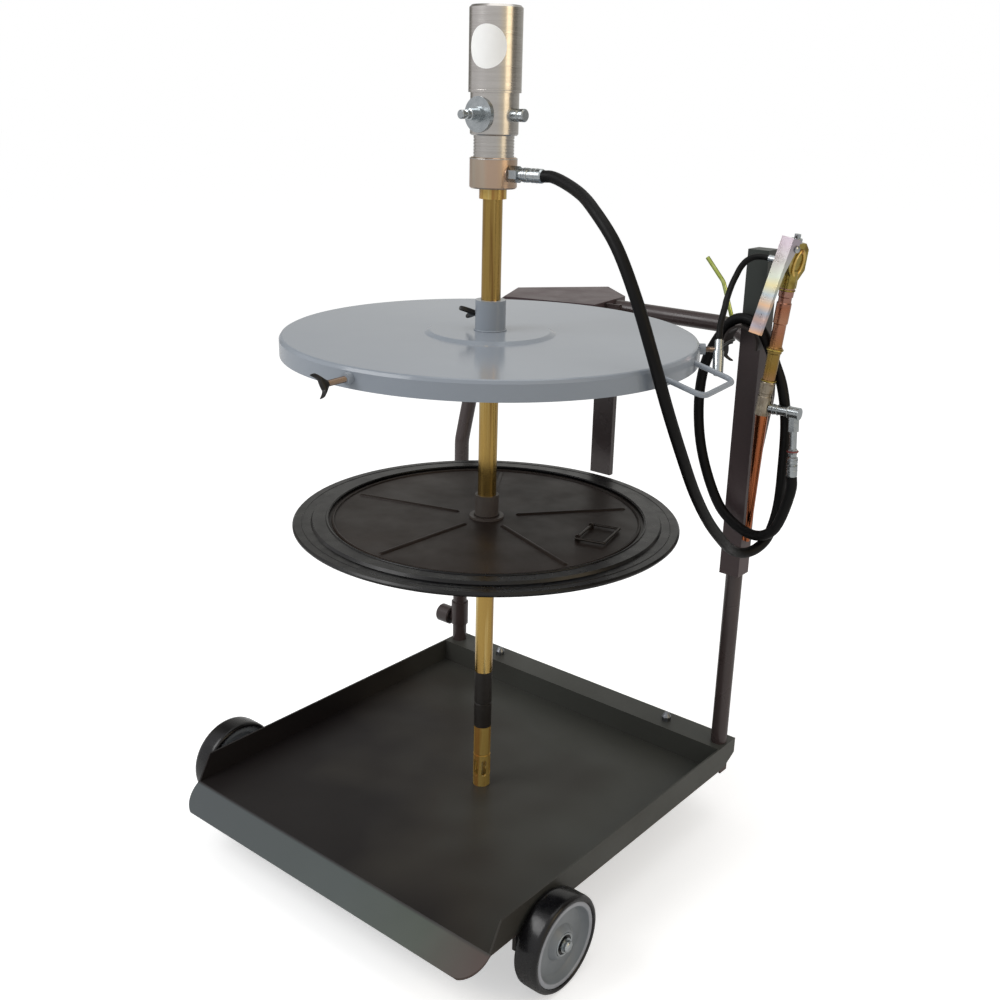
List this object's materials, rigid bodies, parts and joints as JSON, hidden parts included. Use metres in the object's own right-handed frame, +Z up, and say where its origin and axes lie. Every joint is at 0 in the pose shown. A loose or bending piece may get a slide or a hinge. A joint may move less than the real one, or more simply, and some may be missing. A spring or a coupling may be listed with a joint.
{
  "type": "pneumatic grease pump on drum trolley",
  "caption": "Air operated grease pump with drum cover, follower plate, delivery hose and control gun on a wheeled drum trolley with a push handle.",
  "frame": {"origin": "on the ground under the middle of the kit's outer box, without its hoses", "axes": "+Z is up, -Y is the tray's loading lip, +X is the side with the gun post"},
  "size_m": [0.7975, 0.8534, 1.289],
  "materials": {
    "frame_paint": "satin dark brown-black paint",
    "shelf_paint": "satin purple-brown paint",
    "tyre_rubber": "black moulded tyre with a slight gloss",
    "rim_grey": "grey moulded rim",
    "bright_zinc": "bright zinc and nickel plate",
    "castor_steel": "zinc plated pressed steel",
    "castor_tread": "black castor tread",
    "tube_gold": "yellow passivated zinc, slightly streaked",
    "foot_gold": "yellow passivated zinc",
    "motor_nickel": "turned aluminium look with a warm sheen",
    "cylinder_black": "dark oxide finish",
    "inner_steel": "ground steel",
    "cover_paint": "glossy light blue-grey paint",
    "follower_paint": "satin dark brown-grey paint",
    "lip_rubber": "glossy black rubber",
    "knob_plastic": "black moulded plastic",
    "hose_rubber": "black hose cover",
    "gun_zinc": "iridescent yellow zinc",
    "grip_copper": "copper coloured zinc",
    "lever_zinc": "pale rainbow zinc",
    "pipe_zinc": "yellow-green zinc",
    "bail_wire": "dark steel wire"
  },
  "bodies": {
    "trolley": {"tray": "frame_paint", "wheel_axle": "bright_zinc", "axle_brackets": "frame_paint", "axle_caps": "bright_zinc", "castor_stems": "castor_steel", "handle_tube": "frame_paint", "handle_collar": "frame_paint", "post": "frame_paint", "shelf_channel": "frame_paint", "shelf": "shelf_paint", "hose_rest": "frame_paint", "gun_hanger": "grip_copper", "pipe_holder": "frame_paint", "gun_body": "gun_zinc", "gun_cap": "bright_zinc", "lever_pin": "bright_zinc", "gun_grip": "grip_copper", "gun_collar": "gun_zinc", "gun_outlet": "bright_zinc", "swivel_elbow": "bright_zinc", "delivery_hose": "hose_rubber", "gun_ferrule": "bright_zinc", "gun_hose": "hose_rubber", "hose_coupler": "bright_zinc"},
    "wheel_left": {"tyre_left": "tyre_rubber", "rim_left": "rim_grey"},
    "wheel_right": {"tyre_right": "tyre_rubber", "rim_right": "rim_grey"},
    "castor_left": {"castor_fork_left": "castor_steel"},
    "castor_roller_left": {"castor_wheel_left": "castor_tread"},
    "castor_right": {"castor_fork_right": "castor_steel"},
    "castor_roller_right": {"castor_wheel_right": "castor_tread"},
    "clamp_screw": {"clamp_knob": "knob_plastic"},
    "pump": {"motor_barrel": "motor_nickel", "valve_body": "motor_nickel", "air_inlet": "bright_zinc", "side_plug": "bright_zinc", "outlet_block": "motor_nickel", "outlet_fitting": "bright_zinc", "gland_ring": "foot_gold", "suction_tube": "tube_gold", "pump_cylinder": "cylinder_black", "foot_valve": "foot_gold", "pump_ferrule": "bright_zinc"},
    "piston": {"air_piston": "inner_steel"},
    "ball": {"check_ball": "inner_steel"},
    "cover": {"cover_pan": "cover_paint", "cover_sleeve": "cover_paint", "wire_loop": "cover_paint"},
    "sleeve_clamp": {"sleeve_screw": "knob_plastic"},
    "rim_clamp_front": {"rim_screw_front": "knob_plastic"},
    "rim_clamp_right": {"rim_screw_right": "knob_plastic"},
    "rim_clamp_left": {"rim_screw_left": "knob_plastic"},
    "follower": {"follower_disc": "follower_paint", "follower_lip": "lip_rubber", "follower_sleeve": "follower_paint"},
    "bail": {"follower_bail": "bail_wire"},
    "lever": {"gun_lever": "lever_zinc"},
    "pipe": {"extension_pipe": "pipe_zinc"}
  },
  "joints": [
    {"name": "wheel_left_spin", "type": "hinge", "parent": "trolley", "child": "wheel_left", "pos_m": [-0.3714, -0.256, 0.072], "axis": [1, 0, 0], "continuous": true},
    {"name": "wheel_right_spin", "type": "hinge", "parent": "trolley", "child": "wheel_right", "pos_m": [0.3314, -0.256, 0.072], "axis": [1, 0, 0], "continuous": true},
    {"name": "castor_left_swivel", "type": "hinge", "parent": "trolley", "child": "castor_left", "pos_m": [-0.194, 0.252, 0.085], "axis": [0, 0, 1], "continuous": true},
    {"name": "castor_left_roll", "type": "hinge", "parent": "castor_left", "child": "castor_roller_left", "pos_m": [-0.194, 0.276, 0.0375], "axis": [1, 0, 0], "continuous": true},
    {"name": "castor_right_swivel", "type": "hinge", "parent": "trolley", "child": "castor_right", "pos_m": [0.186, 0.252, 0.085], "axis": [0, 0, 1], "continuous": true},
    {"name": "castor_right_roll", "type": "hinge", "parent": "castor_right", "child": "castor_roller_right", "pos_m": [0.186, 0.276, 0.0375], "axis": [1, 0, 0], "continuous": true},
    {"name": "clamp_turn", "type": "hinge", "parent": "trolley", "child": "clamp_screw", "pos_m": [-0.324, 0.251, 0.19], "axis": [-1, 0, 0], "range_deg": [-180, 180]},
    {"name": "pump_lift", "type": "slide", "parent": "trolley", "child": "pump", "axis": [0, 0, 1], "range_m": [0, 0.5], "deforming": ["delivery_hose"]},
    {"name": "piston_stroke", "type": "slide", "parent": "pump", "child": "piston", "axis": [0, 0, 1], "range_m": [0, 0.06]},
    {"name": "ball_lift", "type": "slide", "parent": "pump", "child": "ball", "axis": [0, 0, 1], "range_m": [0, 0.004]},
    {"name": "cover_slide", "type": "slide", "parent": "pump", "child": "cover", "axis": [0, 0, 1], "range_m": [-0.2, 0.135], "deforming": ["delivery_hose"]},
    {"name": "follower_slide", "type": "slide", "parent": "pump", "child": "follower", "axis": [0, 0, 1], "range_m": [-0.39, 0.23]},
    {"name": "sleeve_screw_turn", "type": "hinge", "parent": "cover", "child": "sleeve_clamp", "pos_m": [0.00801, -0.07455, 0.88], "axis": [-0.9397, -0.342, 0], "range_deg": [-180, 180]},
    {"name": "rim_screw_front_turn", "type": "hinge", "parent": "cover", "child": "rim_clamp_front", "pos_m": [0.05582, -0.37504, 0.8398], "axis": [0.0785, -0.9969, 0], "range_deg": [-180, 180]},
    {"name": "rim_screw_right_turn", "type": "hinge", "parent": "cover", "child": "rim_clamp_right", "pos_m": [0.2807, 0.1184, 0.8398], "axis": [0.8039, 0.5948, 0], "range_deg": [-180, 180]},
    {"name": "rim_screw_left_turn", "type": "hinge", "parent": "cover", "child": "rim_clamp_left", "pos_m": [-0.25279, 0.05761, 0.8398], "axis": [-0.9171, 0.3987, 0], "range_deg": [-180, 180]},
    {"name": "bail_lift", "type": "hinge", "parent": "follower", "child": "bail", "pos_m": [0.18508, -0.02485, 0.576], "axis": [0.2588, -0.9659, 0], "range_deg": [0, 100]},
    {"name": "lever_squeeze", "type": "hinge", "parent": "trolley", "child": "lever", "pos_m": [0.35812, 0.19626, 0.98384], "axis": [0.9689, -0.2249, -0.1035], "range_deg": [0, 8], "stiffness_Nm_per_rad": 3, "springref_deg": -11.46},
    {"name": "pipe_draw", "type": "slide", "parent": "trolley", "child": "pipe", "axis": [-0.3486, 0, 0.9373], "range_m": [0, 0.06]}
  ]
}
